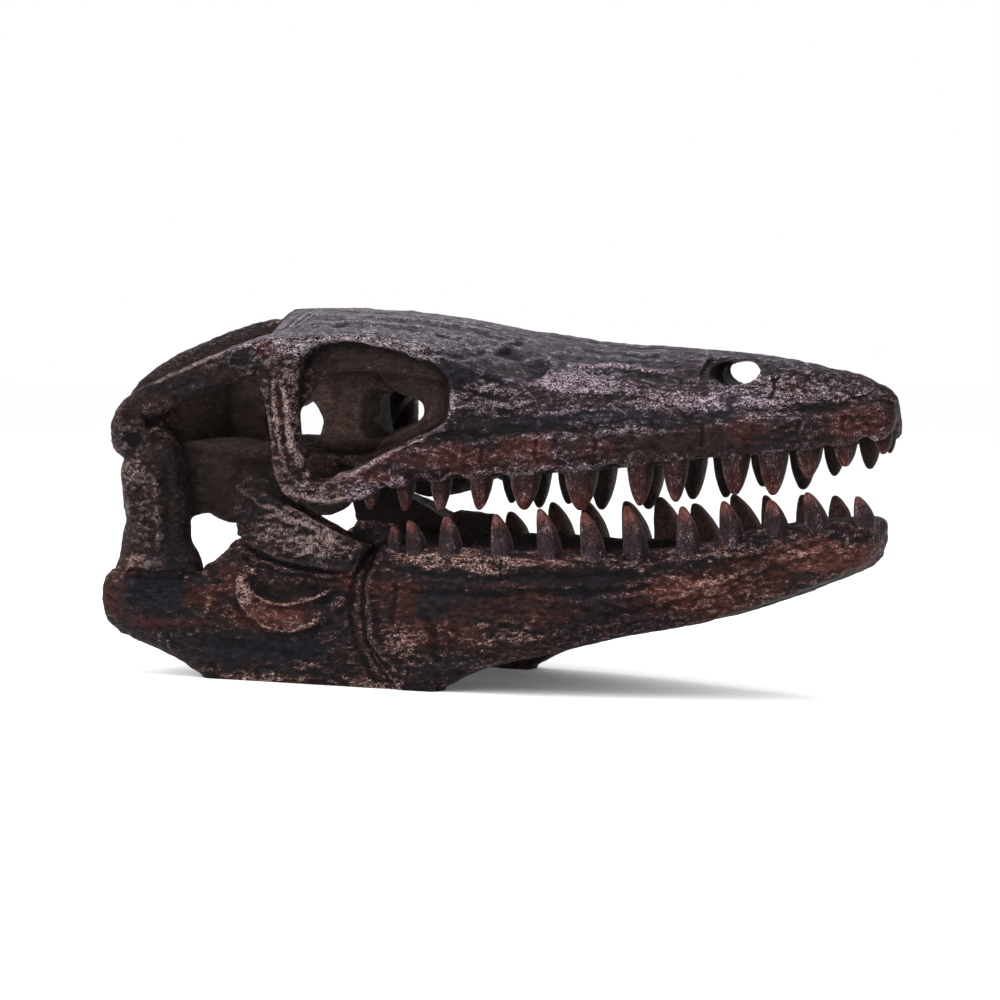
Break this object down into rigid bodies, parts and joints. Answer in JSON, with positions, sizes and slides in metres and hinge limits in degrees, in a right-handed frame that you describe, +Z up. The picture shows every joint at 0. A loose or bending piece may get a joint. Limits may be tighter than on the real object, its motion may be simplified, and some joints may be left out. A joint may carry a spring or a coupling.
{
  "type": "painted resin mosasaur skull ornament",
  "caption": "Painted cast replica of a mosasaur skull: long toothed jaws, open eye sockets and nostrils, standing on the flat-cut undersides of its lower jaw.",
  "frame": {"origin": "under the middle of the whole skull's bounding box, on the plane that the lower jaw stands on", "axes": "+X forwards to the tip of the snout, +Y to the animal's left, +Z up"},
  "size_m": [0.3234, 0.1124, 0.1502],
  "materials": {
    "upper_jaw": "satin, near-black brown with reddish and cream dry-brushing; teeth in one piece with the bone, reddish brown with pale tips",
    "skull_roof": "satin, bluish near-black with grey-brown dry-brushing along the grain",
    "cheek": "satin, dark reddish brown with pink-cream granular highlights",
    "braincase": "satin, plain dark brown",
    "lower_jaw": "satin, dark brown with blue-black patches, reddish washes and cream dry-brushing; teeth in one piece with the bone, pinkish tips"
  },
  "bodies": {
    "root": {"premaxilla": "upper_jaw", "maxilla_right": "upper_jaw", "maxilla_left": "upper_jaw", "frontal": "skull_roof", "parietal": "skull_roof", "prefrontal_right": "skull_roof", "prefrontal_left": "skull_roof", "jugal_right": "cheek", "jugal_left": "cheek", "postorbital_right": "cheek", "postorbital_left": "cheek", "squamosal_right": "cheek", "squamosal_left": "cheek", "quadrate_right": "cheek", "quadrate_left": "cheek", "pterygoid_right": "braincase", "pterygoid_left": "braincase", "braincase": "braincase", "dentary_right": "lower_jaw", "dentary_left": "lower_jaw", "coronoid_right": "lower_jaw", "coronoid_left": "lower_jaw", "articular_right": "lower_jaw", "articular_left": "lower_jaw", "surangular_right": "lower_jaw", "surangular_left": "lower_jaw"}
  },
  "joints": []
}
